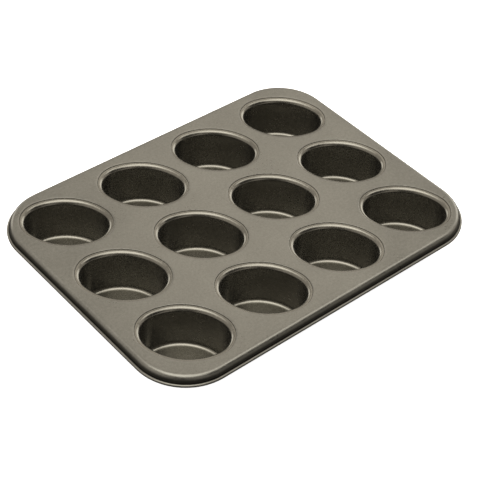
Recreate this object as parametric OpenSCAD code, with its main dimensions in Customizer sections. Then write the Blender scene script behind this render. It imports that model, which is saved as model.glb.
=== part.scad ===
// Muffin tin with twelve oval cups, built the way a bakery tin is.
// A frame plate has a flanged hole for each cup and a rolled rim round a stiffening wire.
// Each cup is drawn separately, drops into its hole and is held there by a closed fold.
// Lengths are in millimetres. The origin is on the plane that the cups stand on, below the middle.

/* [Plate] */
// Length of the plate over the skirt's upper bend
plate_l = 345; // [341:1:360]
// Width of the plate over the skirt's upper bend
plate_w = 263.4; // [258:0.2:280]
// Radius of the plate's four corners, outside
corner_r = 46.5; // [42:0.5:50]
// Thickness of the plate's sheet steel
plate_t = 0.6; // [0.5:0.05:0.7]

/* [Rim] */
// Outside radius of the bend between the plate and its skirt
bend_r = 4.5; // [3.5:0.1:5]
// Angle by which the skirt leans outward from the vertical
skirt_lean = 7; // [4:1:10]
// Depth of the wire's centre below the plate's top face
wire_drop = 8.25; // [8:0.05:10]
// Diameter of the stiffening wire
wire_d = 1.5; // [1.4:0.1:2]
// Clearance between the wire and the sheet rolled round it
wire_gap = 0.05; // [0.02:0.01:0.1]
// Space between the wire's two ends, where they butt at the back
wire_butt = 0.8; // [0.5:0.1:2]

/* [Cups] */
// Distance between neighbouring cups' centres, both ways
cup_pitch = 83; // [82:0.5:84]
// Angle of the cups' long axis from the tin's length
cup_turn = -45; // [-50:1:-40]
// Length of the cup's mouth
mouth_l = 72.6; // [70.6:2:74.6]
// Width of the cup's mouth
mouth_w = 52.6; // [50.6:2:54.6]
// Depth of the cup's floor below the plate's top face
cup_depth = 40; // [30:1:50]
// Slope of the cup's wall from the vertical
wall_draft = 3; // [2:0.5:7]
// Radius of the lip between the cup's wall and its flange
lip_r = 4.3; // [4:0.1:4.6]
// Width of the flat flange beyond the lip
flange_w = 0.35; // [0.3:0.05:0.8]
// Inside radius between the cup's wall and its floor
floor_r = 3.5; // [2:0.5:6]
// Thickness of the cup's sheet steel
cup_t = 0.6; // [0.5:0.05:0.7]

/* [Joint] */
// Depth of the flange's top face below the plate's top face
flange_drop = 0.8; // [0.3:0.1:1]
// Gap round the flange's edge, and between the cup's wall and the plate's collar
seat_gap = 0.15; // [0.1:0.01:0.2]
// Depth of the collar's lower edge below the plate's top face
collar_drop = 8; // [7.5:0.1:9]
// Distance that the closed fold stands out from the cup's wall
fold_w = 1.9; // [1.2:0.1:2.4]

/* [Hidden] */
COLUMNS = 4;
ROWS = 3;
$fn = 96;

// The plate's top face, above the plane that the cups stand on
plate_z = cup_depth + cup_t;

// Profiles of the rim are drawn with x outward from the bend's outermost point and y up from the
// plate's top face. The skirt's outer face touches the clearance round the wire.
roll_in = wire_d / 2 + wire_gap;
roll_out = roll_in + plate_t;
wire_out = (bend_r + roll_in + (wire_drop - bend_r) * sin(skirt_lean)) / cos(skirt_lean) - bend_r;
// The rolled edge ends just short of the skirt, at this angle round the wire
ROLL_END = 124;

// The mouth is an oval of four arcs with its long axis along x. The arcs' centres make triangles with
// sides of 3, 4 and 5 units, so the arcs meet smoothly on lines that rise 4 for every 3 across.
unit = (mouth_l - mouth_w) / 4;
end_r = mouth_w / 2 - unit;
side_r = end_r + 5 * unit;

// Profiles of the cup and its hole are drawn with x outward from the mouth's oval and y up from the
// plate's top face.
lip_y = -flange_drop - lip_r;
flange_x = lip_r + flange_w;
ledge_y = -flange_drop - cup_t;
step_x = flange_x + seat_gap;
wall_rise = lip_y + lip_r * sin(wall_draft) + floor_r * sin(wall_draft) + cup_depth - floor_r;
floor_x = round(100 * (lip_r - (lip_r + floor_r + wall_rise * sin(wall_draft)) / cos(wall_draft))) / 100;
fold_h = 2 * cup_t;
// Profiles turn a bend in steps of about this angle
BEND_STEP = 14;

// Points along a bend, from one angle to another
function bend(centre, r, from, to) =
    let (steps = ceil(abs(to - from) / BEND_STEP))
    [for (i = [0:steps]) let (a = from + (to - from) * i / steps) centre + r * [cos(a), sin(a)]];

// A point on the outer face of the cup's wall, at a height y
function wall_out(y) = [
    lip_r - (lip_r - cup_t) / cos(wall_draft) + (y - lip_y) * tan(wall_draft),
    y
];

// Sweep a profile round the mouth's oval
module round_oval() {
    reach = 20;
    for (side = [0, 180]) rotate([0, 0, side]) {
        translate([3 * unit, 0, 0]) intersection() {
            rotate_extrude() translate([end_r, 0]) children();
            translate([0, 0, -2 * cup_depth]) linear_extrude(3 * cup_depth)
                polygon(reach * [[0, 0], [3, -4], [6, 0], [3, 4]]);
        }
        translate([0, -4 * unit, 0]) intersection() {
            rotate_extrude() translate([side_r, 0]) children();
            translate([0, 0, -2 * cup_depth]) linear_extrude(3 * cup_depth)
                polygon(reach * [[0, 0], [3, 4], [0, 8], [-3, 4]]);
        }
    }
}

// The area inside the oval, grown outward by a distance
module oval(grow) {
    join = [3 * unit, 0] + (end_r + grow) * [0.6, 0.8];
    wide = mouth_l;
    translate(-join) square(2 * join);
    for (side = [0, 180]) rotate(side) {
        intersection() {
            translate([3 * unit, 0]) circle(r = end_r + grow);
            translate([join[0], -wide]) square(2 * wide);
        }
        intersection() {
            translate([0, -4 * unit]) circle(r = side_r + grow);
            translate([-wide, join[1]]) square(2 * wide);
        }
    }
}

// Put something at one cup's place in the plate, turned as the cup is
module at_cup(number) {
    column = (number - 1) % COLUMNS;
    row = floor((number - 1) / COLUMNS);
    translate([column - (COLUMNS - 1) / 2, row - (ROWS - 1) / 2, 0] * cup_pitch)
        rotate([0, 0, cup_turn]) children();
}

// Sweep a profile round the plate's edge
module round_edge() {
    run = [plate_l - 2 * corner_r, plate_w - 2 * corner_r];
    for (side = [0, 180]) rotate([0, 0, side]) translate([0, 0, plate_z]) {
        translate([plate_l / 2, run[1] / 2, 0]) rotate([90, 0, 0]) linear_extrude(run[1]) children();
        rotate([0, 0, 90]) translate([plate_w / 2, run[0] / 2, 0])
            rotate([90, 0, 0]) linear_extrude(run[0]) children();
    }
    for (mx = [0, 1]) for (my = [0, 1]) mirror([mx, 0, 0]) mirror([0, my, 0])
        translate([run[0] / 2, run[1] / 2, plate_z])
            rotate_extrude(angle = 90) translate([corner_r, 0]) children();
}

// The plate's flat area, inside the bend
module plate_flat() {
    r = corner_r - bend_r;
    flat = [plate_l / 2 - bend_r, plate_w / 2 - bend_r];
    translate([-flat[0], r - flat[1]]) square([2 * flat[0], 2 * (flat[1] - r)]);
    for (my = [0, 1]) mirror([0, my]) {
        translate([r - flat[0], flat[1] - r]) square([2 * (flat[0] - r), r]);
        for (mx = [0, 1]) mirror([mx, 0]) translate(flat - [r, r]) intersection() {
            circle(r = r);
            square(r);
        }
    }
}

// The bend, the skirt and the edge rolled outward round the wire
module rim_profile() {
    bend_at = [-bend_r, -bend_r];
    wire_at = [wire_out, -wire_drop];
    roll_from = 180 + skirt_lean;
    polygon(concat(
        bend(bend_at, bend_r, 90, skirt_lean),
        bend(wire_at, roll_in, roll_from, 360 + ROLL_END),
        bend(wire_at, roll_out, 360 + ROLL_END, roll_from),
        bend(bend_at, bend_r - plate_t, skirt_lean, 90)));
}

// The step round a cup's hole, the ledge that its flange sits on and the collar turned down
module hole_profile() {
    arc_at = [lip_r + seat_gap, lip_y];
    arc_r = lip_r - cup_t;
    outer_foot = arc_at[0] - (arc_r - plate_t) / cos(wall_draft) - (collar_drop + lip_y) * tan(wall_draft);
    inner_foot = arc_at[0] - arc_r / cos(wall_draft) - (collar_drop + lip_y) * tan(wall_draft);
    polygon(concat(
        [[step_x + plate_t, 0], [step_x, 0], [step_x, ledge_y]],
        bend(arc_at, arc_r, 90, 180 - wall_draft),
        [[inner_foot, -collar_drop], [outer_foot, -collar_drop]],
        bend(arc_at, arc_r - plate_t, 180 - wall_draft, 90),
        [[step_x + plate_t, ledge_y - plate_t]]));
}

// The flange, lip, wall and rounded bottom edge of a cup, and the closed fold under the collar
module cup_profile() {
    lip_at = [lip_r, lip_y];
    floor_at = [floor_x, floor_r - cup_depth];
    fold_top = wall_out(-collar_drop);
    fold_foot = wall_out(-collar_drop - fold_h);
    fold_at = fold_top + [fold_w - cup_t, -cup_t];
    polygon(concat(
        [[flange_x, ledge_y], [flange_x, -flange_drop]],
        bend(lip_at, lip_r, 90, 180 - wall_draft),
        bend(floor_at, floor_r, -wall_draft, -90),
        bend(floor_at, floor_r + cup_t, -90, -wall_draft),
        [fold_foot],
        bend(fold_at, cup_t, -90, 90),
        [fold_top],
        bend(lip_at, lip_r - cup_t, 180 - wall_draft, 90)));
}

module frame_plate() {
    color("#8a857b") {
        translate([0, 0, plate_z - plate_t]) linear_extrude(plate_t) difference() {
            plate_flat();
            for (k = [1:COLUMNS * ROWS]) at_cup(k) oval(step_x + plate_t);
        }
        round_edge() rim_profile();
        for (k = [1:COLUMNS * ROWS]) at_cup(k) translate([0, 0, plate_z]) round_oval() hole_profile();
    }
}

module rim_wire() {
    color("#b4b4b0") difference() {
        round_edge() translate([wire_out, -wire_drop]) circle(d = wire_d);
        translate([-wire_butt / 2, plate_w / 2, plate_z - wire_drop - wire_d])
            cube([wire_butt, 2 * wire_out, 2 * wire_d]);
    }
}

module cup(number) {
    color("#7d786e") at_cup(number) {
        translate([0, 0, plate_z]) round_oval() cup_profile();
        linear_extrude(cup_t) oval(floor_x);
    }
}

frame_plate();
rim_wire();
for (k = [1:COLUMNS * ROWS]) {
    cup(k);
}
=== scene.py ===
"""Muffin tin with twelve slanting oval cups in non-stick coated sheet steel."""
import math

import bpy
from mathutils import Matrix, Vector


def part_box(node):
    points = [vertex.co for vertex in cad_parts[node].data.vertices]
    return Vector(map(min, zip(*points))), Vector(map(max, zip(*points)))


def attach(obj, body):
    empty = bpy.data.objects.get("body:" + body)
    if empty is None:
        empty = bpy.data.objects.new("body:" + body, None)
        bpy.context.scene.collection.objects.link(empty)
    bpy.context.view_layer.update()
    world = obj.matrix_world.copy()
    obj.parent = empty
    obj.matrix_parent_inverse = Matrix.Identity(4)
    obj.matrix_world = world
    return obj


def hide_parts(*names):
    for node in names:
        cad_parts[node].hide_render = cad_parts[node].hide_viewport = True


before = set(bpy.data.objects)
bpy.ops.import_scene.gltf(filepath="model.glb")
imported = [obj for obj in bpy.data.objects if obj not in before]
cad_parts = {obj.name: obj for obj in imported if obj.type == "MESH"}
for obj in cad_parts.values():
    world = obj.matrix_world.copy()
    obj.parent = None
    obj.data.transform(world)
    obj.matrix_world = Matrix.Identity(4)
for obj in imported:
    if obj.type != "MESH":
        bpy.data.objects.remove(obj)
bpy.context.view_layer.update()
MM = 0.001
CUPS = range(1, 13)

# Sizes of the tin in millimetres and degrees, the same as the CAD model's
CUP_PITCH = 83.0
CUP_TURN = -45.0
MOUTH_L = 72.6
MOUTH_W = 52.6
CUP_DEPTH = 40.0
WALL_DRAFT = 3.0
LIP_R = 4.3
FLANGE_W = 0.35
FLANGE_DROP = 0.8
FLOOR_R = 3.5
SHEET_T = 0.6
SEAT_GAP = 0.15
COLLAR_DROP = 8.0
FOLD_W = 1.9
CORNER_R = 46.5
BEND_R = 4.5
SKIRT_LEAN = 7.0
WIRE_DROP = 8.25
ROLL_IN = 0.8
ROLL_END = 124.0

# Details that only the visual has: small radii on the sheets' edges and inner corners
FLANGE_EDGE_R = 0.25
FLANGE_BEVEL = 0.05
LEDGE_R = 0.15
RISER_R = 0.3
HOLE_EDGE_R = 0.3
# The plate's top face also dips a little towards each hole, along a bend of this radius and angle
DIP_R = 6.0
DIP_TILT = 16.0

# The mouth's oval: arcs whose centres make triangles with sides of 3, 4 and 5 units
UNIT = (MOUTH_L - MOUTH_W) / 4
END_R = MOUTH_W / 2 - UNIT
SIDE_R = END_R + 5 * UNIT
END_C = 3 * UNIT
SIDE_C = 4 * UNIT

# Places that follow from the sizes. Profiles use q outward from the mouth's oval, or from the bend's
# outermost point at the rim, and y up from the plate's top face
STEP_Q = LIP_R + FLANGE_W + SEAT_GAP
RISER_Q = STEP_Q + SHEET_T
TILT = math.radians(DIP_TILT)
DIP_Q = STEP_Q + DIP_R * math.sin(TILT) + HOLE_EDGE_R * (1 - math.sin(TILT))
LEDGE_Y = -FLANGE_DROP - SHEET_T
LIP_Y = -FLANGE_DROP - LIP_R
DRAFT = math.radians(WALL_DRAFT)
WALL_RISE = LIP_Y + (LIP_R + FLOOR_R) * math.sin(DRAFT) + CUP_DEPTH - FLOOR_R
FLOOR_Q = LIP_R - (LIP_R + FLOOR_R + WALL_RISE * math.sin(DRAFT)) / math.cos(DRAFT)
PLATE_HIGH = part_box("frame_plate")[1]
PLATE_Z = PLATE_HIGH[2] / MM

# Where rows of points lie along straight walls. The first and last keep the bends' shading off the wall
INNER_WALL_ROWS = (0.02, 0.2, 0.4, 0.6, 0.8, 0.98)
OUTER_WALL_ROWS = (0.02, 0.25, 0.5, 0.75, 0.98)
SKIRT_ROWS = (0.06, 0.5, 0.94)
# Where loops of points lie across a cup's floor, from its edge, and across a cup's share of the plate
FLOOR_LOOPS = (1, 0.96, 0.82, 0.6, 0.38, 0.18)
PLATE_LOOPS = (0, 0.06, 0.3, 0.6, 0.88, 1)
# Points along each end arc and side arc of a cup, and round each hole in the plate
END_STEPS = 30
SIDE_STEPS = 24
HOLE_STEPS = 96
# Decimals of a millimetre to which corners have to agree to be joined, how near to the plate's edge
# counts as on it, and the least part of a direction that counts as pointing that way
JOIN_DIGITS = 4
ON_EDGE = 1e-3
LEAST_PART = 1e-9
# Edges that turn by more degrees than this are shaded as sharp
SHARP_TURN = 40


# ---------------------------------------------------------------- profiles

def bend(q, y, r, start, end, steps):
    """Points along a round bend, from one angle to another in degrees."""
    angles = [math.radians(start + (end - start) * i / steps) for i in range(steps + 1)]
    return [(q + r * math.cos(a), y + r * math.sin(a)) for a in angles]


def between(a, b, shares):
    """Points on the line from a to b."""
    return [(a[0] + (b[0] - a[0]) * s, a[1] + (b[1] - a[1]) * s) for s in shares]


def wall_out(y):
    """The outer face of a cup's wall at a height y."""
    q = LIP_R - (LIP_R - SHEET_T) / math.cos(DRAFT) + (y - LIP_Y) * math.tan(DRAFT)
    return (q, y)


def cup_profile():
    """A cup's sheet from its inner floor up over the lip and down to its outer floor."""
    inner_floor = bend(FLOOR_Q, FLOOR_R - CUP_DEPTH, FLOOR_R, -90, -WALL_DRAFT, steps=10)
    inner_lip = bend(LIP_R, LIP_Y, LIP_R, 180 - WALL_DRAFT, 90, steps=14)
    wall = between(inner_floor[-1], inner_lip[0], INNER_WALL_ROWS)
    flange_q = LIP_R + FLANGE_W
    edge = bend(flange_q - FLANGE_EDGE_R, -FLANGE_DROP - FLANGE_EDGE_R, FLANGE_EDGE_R, 90, 0, steps=4)
    under = [(flange_q, LEDGE_Y + FLANGE_BEVEL), (flange_q - FLANGE_BEVEL, LEDGE_Y)]
    outer_lip = bend(LIP_R, LIP_Y, LIP_R - SHEET_T, 90, 180 - WALL_DRAFT, steps=8)
    fold_top = wall_out(-COLLAR_DROP)
    fold_foot = wall_out(-COLLAR_DROP - 2 * SHEET_T)
    fold = bend(fold_top[0] + FOLD_W - SHEET_T, fold_top[1] - SHEET_T, SHEET_T, 90, -90, steps=8)
    outer_floor = bend(FLOOR_Q, FLOOR_R - CUP_DEPTH, FLOOR_R + SHEET_T, -WALL_DRAFT, -90, steps=10)
    outer_wall = between(fold_foot, outer_floor[0], OUTER_WALL_ROWS)
    return (inner_floor + wall + inner_lip + edge + under + outer_lip + [fold_top] + fold
            + [fold_foot] + outer_wall + outer_floor)


def hole_profile():
    """The plate at a cup's hole, from the dip in its top face over the step and collar to its underside."""
    dip = bend(DIP_Q, -DIP_R, DIP_R, 90, 90 + DIP_TILT, steps=5)
    edge_q = dip[-1][0] + HOLE_EDGE_R * math.sin(TILT)
    edge_y = dip[-1][1] - HOLE_EDGE_R * math.cos(TILT)
    edge = bend(edge_q, edge_y, HOLE_EDGE_R, 90 + DIP_TILT, 180, steps=5)[1:]
    ledge = bend(STEP_Q - LEDGE_R, LEDGE_Y + LEDGE_R, LEDGE_R, 0, -90, steps=3)
    arc_q = LIP_R + SEAT_GAP
    arc_r = LIP_R - SHEET_T
    collar = bend(arc_q, LIP_Y, arc_r, 90, 180 - WALL_DRAFT, steps=8)
    run = (COLLAR_DROP + LIP_Y) * math.tan(DRAFT)
    inner_foot = (arc_q - arc_r / math.cos(DRAFT) - run, -COLLAR_DROP)
    outer_foot = (arc_q - (arc_r - SHEET_T) / math.cos(DRAFT) - run, -COLLAR_DROP)
    back = bend(arc_q, LIP_Y, arc_r - SHEET_T, 180 - WALL_DRAFT, 90, steps=6)
    riser = bend(RISER_Q - RISER_R, LEDGE_Y - SHEET_T + RISER_R, RISER_R, -90, 0, steps=4)
    return (dip + edge + ledge + collar + [inner_foot, outer_foot] + back + riser
            + [(RISER_Q, -SHEET_T)])


def with_painted_shade(points, start, end):
    """Points with an amount of painted shade that changes evenly along them."""
    last = len(points) - 1
    return [(q, y, start + (end - start) * i / last) for i, (q, y) in enumerate(points)]


def rim_rows():
    """The plate's edge as (q, y, painted shade): bend, skirt and the edge rolled round the wire, then back up
    inside. Painted shade darkens the groove between the skirt and the roll, where shade falls."""
    lean = math.radians(SKIRT_LEAN)
    wire_q = (BEND_R + ROLL_IN + (WIRE_DROP - BEND_R) * math.sin(lean)) / math.cos(lean) - BEND_R
    outer = bend(-BEND_R, -BEND_R, BEND_R, 90, SKIRT_LEAN, steps=10)
    roll_inside = bend(wire_q, -WIRE_DROP, ROLL_IN, 180 + SKIRT_LEAN, 360 + ROLL_END, steps=22)
    skirt = between(outer[-1], roll_inside[0], SKIRT_ROWS)
    roll_outside = bend(wire_q, -WIRE_DROP, ROLL_IN + SHEET_T, 360 + ROLL_END, 180 + SKIRT_LEAN, steps=34)
    inner = bend(-BEND_R, -BEND_R, BEND_R - SHEET_T, SKIRT_LEAN, 90, steps=6)
    back = between(roll_outside[-1], inner[0], SKIRT_ROWS)
    # The painted shade thins out over the bend's last two points and the roll's first five
    bend_end, roll_start = -2, 5
    return (with_painted_shade(outer[:bend_end], 0, 0) + with_painted_shade(outer[bend_end:], 0.1, 0.35)
            + with_painted_shade(skirt, 0.55, 1) + with_painted_shade(roll_inside, 1, 1)
            + with_painted_shade(roll_outside[:roll_start], 1, 0.1) + with_painted_shade(roll_outside[roll_start:], 0, 0)
            + with_painted_shade(back + inner, 0, 0))


# ---------------------------------------------------------------- the oval

def oval_point(angle, grow):
    """Where a ray from the oval's centre meets the oval grown by a distance: (foot on the mouth, normal)."""
    direction = Vector((math.cos(angle), math.sin(angle)))
    join = Vector((END_C + (END_R + grow) * (3 / 5), (END_R + grow) * (4 / 5)))
    if abs(direction.y) * join.x < abs(direction.x) * join.y:
        centre, r = Vector((math.copysign(END_C, direction.x), 0)), END_R
    else:
        centre, r = Vector((0, -math.copysign(SIDE_C, direction.y))), SIDE_R
    along = direction.dot(centre)
    reach = along + math.sqrt(along ** 2 - centre.length_squared + (r + grow) ** 2)
    normal = (direction * reach - centre) / (r + grow)
    return direction * reach - normal * grow, normal


def oval_ring(angles, grow):
    """Feet and normals round the mouth, turned to lie as the cup does."""
    turn = math.radians(CUP_TURN)
    spin = Matrix.Rotation(turn, 2)
    ring = [oval_point(a - turn, grow) for a in angles]
    return [(spin @ foot, spin @ normal) for foot, normal in ring]


def even_angles():
    """Angles that space points evenly along each of the mouth's four arcs."""
    join = math.atan2(4, 3)
    points = []
    for side in (0, math.pi):
        for i in range(END_STEPS):
            a = side - join + 2 * join * i / END_STEPS
            centre = Vector((END_C * math.cos(side), 0))
            points.append(centre + END_R * Vector((math.cos(a), math.sin(a))))
        for i in range(SIDE_STEPS):
            a = side + join + (math.pi - 2 * join) * i / SIDE_STEPS
            centre = Vector((0, -SIDE_C * math.cos(side)))
            points.append(centre + SIDE_R * Vector((math.cos(a), math.sin(a))))
    return [math.atan2(p.y, p.x) + math.radians(CUP_TURN) for p in points]


# ---------------------------------------------------------------- meshes

class Sheet:
    """Collects faces by their corners' places, and joins corners that meet."""

    def __init__(self):
        self.places = {}
        self.points = []
        self.faces = []
        # Amounts of painted shade for the rim's groove, by corner
        self.painted_shade = {}

    def corner(self, point):
        key = tuple(round(c, JOIN_DIGITS) for c in point)
        if key not in self.places:
            self.places[key] = len(self.points)
            self.points.append([c * MM for c in point])
        return self.places[key]

    def face(self, corners):
        indices = []
        for point in corners:
            i = self.corner(point)
            if i not in indices:
                indices.append(i)
        if len(indices) > 2:
            self.faces.append(indices)

    def rows(self, rows, painted_shade=()):
        """Quads between closed rows of points, with the painted shade of each row."""
        for low, high in zip(rows, rows[1:]):
            for i in range(len(low)):
                j = (i + 1) % len(low)
                self.face([low[i], high[i], high[j], low[j]])
        for row, amount in zip(rows, painted_shade):
            for point in row:
                self.painted_shade[self.corner(point)] = amount

    def build(self, name, material, node):
        mesh = bpy.data.meshes.new(name)
        mesh.from_pydata(self.points, [], self.faces)
        amounts = [self.painted_shade.get(i, 0.0) for i in range(len(self.points))]
        # Each point's amount of painted shade, which the coating reads to darken its colour
        mesh.attributes.new("painted_shade", "FLOAT", "POINT").data.foreach_set("value", amounts)
        mesh.validate()
        mesh.shade_smooth()
        mesh.set_sharp_from_angle(angle=math.radians(SHARP_TURN))
        mesh.materials.append(material)
        piece = bpy.data.objects.new(name, mesh)
        bpy.context.scene.collection.objects.link(piece)
        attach(piece, "root")
        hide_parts(node)


def middle_of(low, high):
    """The middle of a box of the frame seen from above, in millimetres."""
    return ((low[0] + high[0]) / 2 / MM, (low[1] + high[1]) / 2 / MM)


def place(centre, foot, normal, q, y):
    """A point q outward from the mouth's oval and y above the plate's top face."""
    flat = Vector(centre) + foot + normal * q
    return (flat.x, flat.y, PLATE_Z + y)


def make_cup(number, material):
    low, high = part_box(f"cup_{number}")
    centre = middle_of(low, high)
    ring = oval_ring(even_angles(), 0)
    sheet = Sheet()
    sheet.rows([[place(centre, f, n, q, y) for f, n in ring] for q, y in cup_profile()])
    for y, faces_down in ((-CUP_DEPTH, False), (-CUP_DEPTH - SHEET_T, True)):
        edge = [place(centre, f, n, FLOOR_Q, y) for f, n in ring]
        middle = Vector((*centre, PLATE_Z + y))
        loops = [[tuple(middle.lerp(Vector(p), s)) for p in edge] for s in FLOOR_LOOPS]
        sheet.rows(loops if faces_down else loops[::-1])
        for i, point in enumerate(loops[-1]):
            after = loops[-1][(i + 1) % len(edge)]
            sheet.face([middle, after, point] if faces_down else [middle, point, after])
    sheet.build(f"cup_shell_{number}", material, f"cup_{number}")


def plate_half():
    """Half the length and width of the plate's flat, inside its bend."""
    rim_reach = max(q for q, y, amount in rim_rows())
    return (PLATE_HIGH[0] / MM - rim_reach - BEND_R, PLATE_HIGH[1] / MM - rim_reach - BEND_R)


def over_corner(point, half, r):
    """How far a point lies past the centres of the flat's corners, each way."""
    return Vector((max(abs(point.x) - half[0] + r, 0), max(abs(point.y) - half[1] + r, 0)))


def is_outline(point, half, r):
    """Whether a point lies on the edge of the plate's flat."""
    return abs(over_corner(point, half, r).length - r) < ON_EDGE


def edge_normal(point, half, r):
    """The outward direction at a point of the plate's round-cornered edge."""
    over = over_corner(point, half, r)
    if over.x > 0 and over.y > 0:
        return Vector((math.copysign(over.x, point.x), math.copysign(over.y, point.y))).normalized()
    if half[0] - abs(point.x) < half[1] - abs(point.y):
        return Vector((math.copysign(1, point.x), 0))
    return Vector((0, math.copysign(1, point.y)))


def flat_edge(origin, direction, half, r):
    """Where a ray from a point inside the plate's flat meets its round-cornered edge."""
    reach = min((math.copysign(half[k], direction[k]) - origin[k]) / direction[k]
                for k in (0, 1) if abs(direction[k]) > LEAST_PART)
    hit = origin + direction * reach
    if abs(hit.x) > half[0] - r and abs(hit.y) > half[1] - r:
        gap = origin - Vector((math.copysign(half[0] - r, hit.x), math.copysign(half[1] - r, hit.y)))
        along = direction.dot(gap)
        hit = origin + direction * (-along + math.sqrt(along ** 2 - gap.length_squared + r ** 2))
    return hit


def snap(points, corner):
    """Move the point nearest to a corner onto it."""
    nearest = min(range(len(points)), key=lambda i: (points[i] - corner).length)
    points[nearest] = corner


def cell_edge(centre, angles, half, r):
    """The edge of one cup's share of the flat: halfway to its neighbours, or the plate's edge."""
    low, high = [], []
    for k in (0, 1):
        low.append(-math.inf if centre[k] - CUP_PITCH < -half[k] else centre[k] - CUP_PITCH / 2)
        high.append(math.inf if centre[k] + CUP_PITCH > half[k] else centre[k] + CUP_PITCH / 2)
    middle = Vector(centre)
    hits = []
    for a in angles:
        direction = Vector((math.cos(a), math.sin(a)))
        hit = flat_edge(middle, direction, half, r)
        scale = 1.0
        for k in (0, 1):
            limit = high[k] if direction[k] > 0 else low[k]
            if abs(hit[k] - centre[k]) > abs(limit - centre[k]):
                scale = min(scale, (limit - centre[k]) / (hit[k] - centre[k]))
        hits.append(middle + (hit - middle) * scale)
    # A share that meets the plate's straight edge gets its corners there as points
    for k in (0, 1):
        for across in (low[k], high[k]):
            for side, limit in ((-1, low[1 - k]), (1, high[1 - k])):
                if abs(across) < half[k] - r and math.isinf(limit):
                    corner = (across, side * half[1 - k])
                    snap(hits, Vector(corner if k == 0 else corner[::-1]))
    return hits


def make_plate(material):
    half = plate_half()
    r = CORNER_R - BEND_R
    angles = [2 * math.pi * i / HOLE_STEPS for i in range(HOLE_STEPS)]
    ring = oval_ring(angles, RISER_Q)
    sheet = Sheet()
    outline = {}
    for number in CUPS:
        low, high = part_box(f"cup_{number}")
        centre = middle_of(low, high)
        sheet.rows([[place(centre, f, n, q, y) for f, n in ring] for q, y in hole_profile()][::-1])
        edge = cell_edge(centre, angles, half, r)
        for q, y, faces_down in ((DIP_Q, 0, False), (RISER_Q, -SHEET_T, True)):
            inner = [Vector(place(centre, f, n, q, y)) for f, n in ring]
            outer = [Vector((p.x, p.y, PLATE_Z + y)) for p in edge]
            loops = [[tuple(a.lerp(b, s)) for a, b in zip(inner, outer)] for s in PLATE_LOOPS]
            sheet.rows(loops[::-1] if faces_down else loops)
        for p in edge:
            if is_outline(p, half, r):
                outline[(round(p.x, JOIN_DIGITS), round(p.y, JOIN_DIGITS))] = p
    points = sorted(outline.values(), key=lambda p: math.atan2(p.y, p.x))
    rows = []
    for q, y, amount in rim_rows():
        outs = [p + edge_normal(p, half, r) * (q + BEND_R) for p in points]
        rows.append([(out.x, out.y, PLATE_Z + y) for out in outs])
    sheet.rows(rows, [amount for q, y, amount in rim_rows()])
    sheet.build("plate_and_rolled_rim", material, "frame_plate")


# ---------------------------------------------------------------- materials

# Near-black colour painted into the groove between the rim's skirt and roll as painted shade
PAINTED_SHADE_COLOUR = (0.012, 0.011, 0.009, 1)
# The coating's patterns as noise scales per metre, and how far the finer and coarser ones change its
# roughness and lightness
FLAKE_SCALE = 1100
GRAIN_SCALE = 420
CLOUD_SCALE = 22
GRAIN_ROUGH = 0.05
CLOUD_ROUGH = 0.03
CLOUD_SHADE = 0.07
BUMP_HEIGHT = 0.0002
BUMP_STRENGTH = 0.10
WIRE_LINE_SCALE = 900


class Nodes:
    """Short calls for building a node tree."""

    def __init__(self, owner):
        owner.use_nodes = True
        self.tree = owner.node_tree
        self.tree.nodes.clear()

    def fill(self, socket, value):
        if isinstance(value, bpy.types.NodeSocket):
            self.tree.links.new(value, socket)
        else:
            socket.default_value = value

    def add(self, kind, inputs=None, **settings):
        node = self.tree.nodes.new(kind)
        for name, value in settings.items():
            setattr(node, name, value)
        for name, value in (inputs or {}).items():
            self.fill(node.inputs[name], value)
        return node

    def noise(self, coords, scale, detail, rough):
        inputs = {"Vector": coords, "Scale": scale, "Detail": detail, "Roughness": rough}
        return self.add("ShaderNodeTexNoise", inputs).outputs["Fac"]

    def ramp(self, value, start, stop, low, high, kind="LINEAR"):
        inputs = {"Value": value, "From Min": start, "From Max": stop, "To Min": low, "To Max": high}
        return self.add("ShaderNodeMapRange", inputs, interpolation_type=kind).outputs["Result"]

    def smooth(self, value, start, stop, low, high):
        return self.ramp(value, start, stop, low, high, kind="SMOOTHSTEP")

    def math(self, operation, a, b):
        return self.add("ShaderNodeMath", {0: a, 1: b}, operation=operation).outputs[0]

    def blend(self, a, b, share):
        """A sum of two values, with a share of the first."""
        return self.math("ADD", self.math("MULTIPLY", a, share), self.math("MULTIPLY", b, 1 - share))

    def mix(self, amount, a, b):
        node = self.add("ShaderNodeMix", data_type="RGBA")
        for name, value in (("Factor_Float", amount), ("A_Color", a), ("B_Color", b)):
            self.fill(next(s for s in node.inputs if s.identifier == name), value)
        return next(s for s in node.outputs if s.identifier == "Result_Color")

    def finish(self, shader, kind="ShaderNodeOutputMaterial"):
        self.tree.links.new(shader.outputs[0], self.add(kind).inputs["Surface"])


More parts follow.
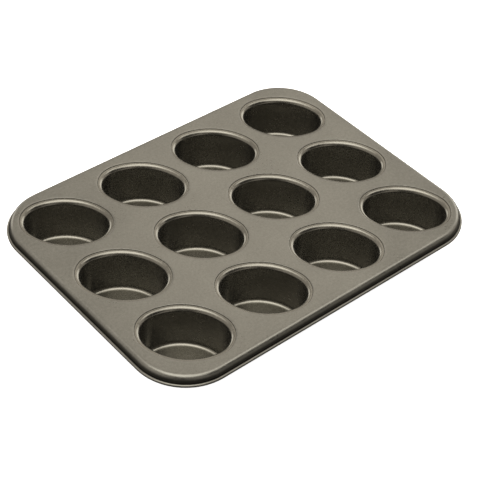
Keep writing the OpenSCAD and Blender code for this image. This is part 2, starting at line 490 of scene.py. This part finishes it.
def coating(name, dark, light, roughness, metallic):
    """Grey non-stick coating on sheet steel: a satin metallic film with fine flakes."""
    material = bpy.data.materials.new(name)
    nodes = Nodes(material)
    coords = nodes.add("ShaderNodeTexCoord").outputs["Object"]
    flakes = nodes.noise(coords, FLAKE_SCALE, detail=3, rough=0.7)
    grain = nodes.noise(coords, GRAIN_SCALE, detail=2, rough=0.6)
    clouds = nodes.noise(coords, CLOUD_SCALE, detail=3, rough=0.55)
    colour = nodes.mix(nodes.ramp(nodes.blend(flakes, grain, 0.55), 0.36, 0.64, 0, 1), dark, light)
    shade = nodes.ramp(clouds, 0.3, 0.7, 1 - CLOUD_SHADE, 1 + CLOUD_SHADE)
    tinted = nodes.add("ShaderNodeVectorMath", {0: colour, "Scale": shade}, operation="SCALE").outputs[0]
    # Painted shade: the attribute below darkens the colour towards near-black in the rim's groove, where
    # shade falls
    painted_shade = nodes.add("ShaderNodeAttribute", attribute_name="painted_shade").outputs["Fac"]
    tinted = nodes.mix(painted_shade, tinted, PAINTED_SHADE_COLOUR)
    rough = nodes.math("ADD", nodes.ramp(grain, 0.35, 0.65, roughness - GRAIN_ROUGH, roughness + GRAIN_ROUGH),
                       nodes.ramp(clouds, 0.3, 0.7, -CLOUD_ROUGH, CLOUD_ROUGH))
    height = nodes.blend(flakes, grain, 0.4)
    bumps = nodes.add("ShaderNodeBump", {
        "Height": height, "Strength": BUMP_STRENGTH, "Distance": BUMP_HEIGHT}).outputs[0]
    shader = nodes.add("ShaderNodeBsdfPrincipled", {
        "Base Color": tinted, "Roughness": rough, "Normal": bumps})
    shader.inputs["Metallic"].default_value = metallic
    nodes.finish(shader)
    return material


def wire_steel():
    """Bright drawn wire, with fine lines along it."""
    material = bpy.data.materials.new("drawn_wire")
    nodes = Nodes(material)
    coords = nodes.add("ShaderNodeTexCoord").outputs["Object"]
    lines = nodes.noise(coords, WIRE_LINE_SCALE, detail=4, rough=0.6)
    colour = nodes.mix(lines, (0.42, 0.42, 0.41, 1), (0.62, 0.62, 0.60, 1))
    rough = nodes.ramp(lines, 0.3, 0.7, 0.25, 0.42)
    shader = nodes.add("ShaderNodeBsdfPrincipled", {"Base Color": colour, "Roughness": rough})
    shader.inputs["Metallic"].default_value = 1.0
    nodes.finish(shader)
    return material


# ---------------------------------------------------------------- studio

TENT_COLOUR = (1.0, 0.91, 0.80)
LAMP_COLOUR = (1.0, 0.95, 0.87)
# The tent's level at its walls, below the horizon and at its least, and how many times brighter than
# its walls its top is
TENT_WALL = 0.64
TENT_BELOW = 0.08
TENT_LEAST = 0.02
TENT_TOP = 1.3
# Heights on a unit sphere between which the tent brightens, at the horizon and towards its top
TENT_HORIZON = (-0.13, 0.12)
TENT_CROWN = (0.75, 1.0)
# Levels between which the light turns from the tent's colour to the lamps'
LAMP_FROM = 0.9
LAMP_FULL = 2.2

# Soft patches of the tent, lights above zero and shades below: azimuth from the tin's front, elevation,
# added level, and the angles of the patch's core and edge
SOFT_LIGHTS = (
    (-42, 74, 2.1, 10, 33),
    (-128, 66, 0.9, 4, 22),
    (62, 56, 1.5, 6, 18),
    (104, 17, 1.8, 8, 22),
    (178, 10, 1.5, 8, 20),
    (-42, 32, -0.40, 12, 36),
    (-42, 4, -0.35, 8, 24),
    (22, 32, -0.62, 16, 33),
)

# The floor's half size, its place just below the tin's feet, and its own glow
FLOOR_HALF = 6.0
FLOOR_Z = -0.0004
FLOOR_GLOW = 0.95

# The photograph's viewpoint, from a camera fitted to the twelve mouths. The target and distance are in
# cup pitches
VIEW_AZIMUTH = -42.27
VIEW_ELEVATION = 42.52
VIEW_ROLL = -3.47
VIEW_DISTANCE = 14.19
VIEW_TARGET = (-0.240, -0.319)
VIEW_LENS = 102.7


def toward(azimuth, elevation):
    """The direction at an azimuth from the tin's front and an elevation, in degrees."""
    a, e = math.radians(azimuth), math.radians(elevation)
    return (math.sin(a) * math.cos(e), -math.cos(a) * math.cos(e), math.sin(e))


def floor_material():
    material = bpy.data.materials.new("pale_floor")
    nodes = Nodes(material)
    diffuse = nodes.add("ShaderNodeBsdfDiffuse", {"Color": (0.85, 0.85, 0.85, 1)})
    glow = nodes.add("ShaderNodeEmission", {"Color": (1, 1, 1, 1), "Strength": FLOOR_GLOW})
    nodes.finish(nodes.add("ShaderNodeAddShader", {0: diffuse.outputs[0], 1: glow.outputs[0]}))
    return material


def make_floor():
    mesh = bpy.data.meshes.new("floor")
    corners = [(x * FLOOR_HALF, y * FLOOR_HALF, FLOOR_Z) for x, y in ((-1, -1), (1, -1), (1, 1), (-1, 1))]
    mesh.from_pydata(corners, [], [(0, 1, 2, 3)])
    mesh.materials.append(floor_material())
    floor = bpy.data.objects.new("floor", mesh)
    bpy.context.scene.collection.objects.link(floor)
    floor.visible_glossy = False
    floor.visible_diffuse = False


def make_world():
    """A warm white tent round the tin, bright down to the horizon and dark below it, with soft patches."""
    world = bpy.data.worlds.new("studio")
    bpy.context.scene.world = world
    nodes = Nodes(world)
    direction = nodes.add("ShaderNodeTexCoord").outputs["Generated"]
    height = nodes.add("ShaderNodeSeparateXYZ", {0: direction}).outputs["Z"]
    total = nodes.math("MULTIPLY", nodes.smooth(height, *TENT_HORIZON, TENT_BELOW, TENT_WALL),
                       nodes.smooth(height, *TENT_CROWN, 1.0, TENT_TOP))
    for azimuth, elevation, level, core, edge in SOFT_LIGHTS:
        inputs = {0: direction, 1: toward(azimuth, elevation)}
        facing = nodes.add("ShaderNodeVectorMath", inputs, operation="DOT_PRODUCT").outputs["Value"]
        patch = nodes.smooth(facing, math.cos(math.radians(edge)), math.cos(math.radians(core)), 0, level)
        total = nodes.math("ADD", total, patch)
    total = nodes.math("MAXIMUM", total, TENT_LEAST)
    lamp_share = nodes.smooth(total, LAMP_FROM, LAMP_FULL, 0, 1)
    colour = nodes.mix(lamp_share, (*TENT_COLOUR, 1), (*LAMP_COLOUR, 1))
    nodes.finish(nodes.add("ShaderNodeBackground", {"Color": colour, "Strength": total}),
                 "ShaderNodeOutputWorld")


def area_light(name, place_at, aim_at, size, power):
    light = bpy.data.lights.new(name, "AREA")
    light.shape = "RECTANGLE"
    light.size, light.size_y = size
    light.energy = power
    light.color = TENT_COLOUR
    lamp = bpy.data.objects.new(name, light)
    lamp.location = place_at
    lamp.rotation_euler = (Vector(aim_at) - Vector(place_at)).to_track_quat("-Z", "Y").to_euler()
    bpy.context.scene.collection.objects.link(lamp)


def make_camera():
    """The camera at the photograph's viewpoint, rolled about its line of sight."""
    roll = math.radians(VIEW_ROLL)
    target = Vector((VIEW_TARGET[0] * CUP_PITCH, VIEW_TARGET[1] * CUP_PITCH, PLATE_Z)) * MM
    back = Vector(toward(VIEW_AZIMUTH, VIEW_ELEVATION))
    distance = VIEW_DISTANCE * CUP_PITCH * MM
    level_right = (-back).cross(Vector((0, 0, 1))).normalized()
    level_down = (-back).cross(level_right)
    right = math.cos(roll) * level_right + math.sin(roll) * level_down
    up = math.sin(roll) * level_right - math.cos(roll) * level_down
    camera = bpy.data.cameras.new("camera")
    camera.lens = VIEW_LENS
    camera.sensor_width = 36
    camera.clip_start = 0.01
    eye = bpy.data.objects.new("camera", camera)
    turned = Matrix((right, up, back)).transposed().to_4x4()
    eye.matrix_world = Matrix.Translation(target + back * distance) @ turned
    bpy.context.scene.collection.objects.link(eye)
    bpy.context.scene.camera = eye


def main():
    make_camera()
    plate_coat = coating("plate_nonstick", dark=(0.219, 0.218, 0.197, 1), light=(0.285, 0.284, 0.257, 1),
                         roughness=0.34, metallic=0.88)
    cup_coat = coating("cup_nonstick", dark=(0.205, 0.200, 0.176, 1), light=(0.268, 0.261, 0.232, 1),
                       roughness=0.23, metallic=0.93)
    make_plate(plate_coat)
    for number in CUPS:
        make_cup(number, cup_coat)
    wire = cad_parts["rim_wire"]
    wire.data.materials.clear()
    wire.data.materials.append(wire_steel())
    make_floor()
    make_world()
    area_light("back_panel", place_at=(0.43, 0.46, 0.65), aim_at=(-0.02, -0.03, 0.04), size=(0.44, 0.44),
               power=0.30)
    bpy.context.scene.view_settings.view_transform = "Standard"


main()
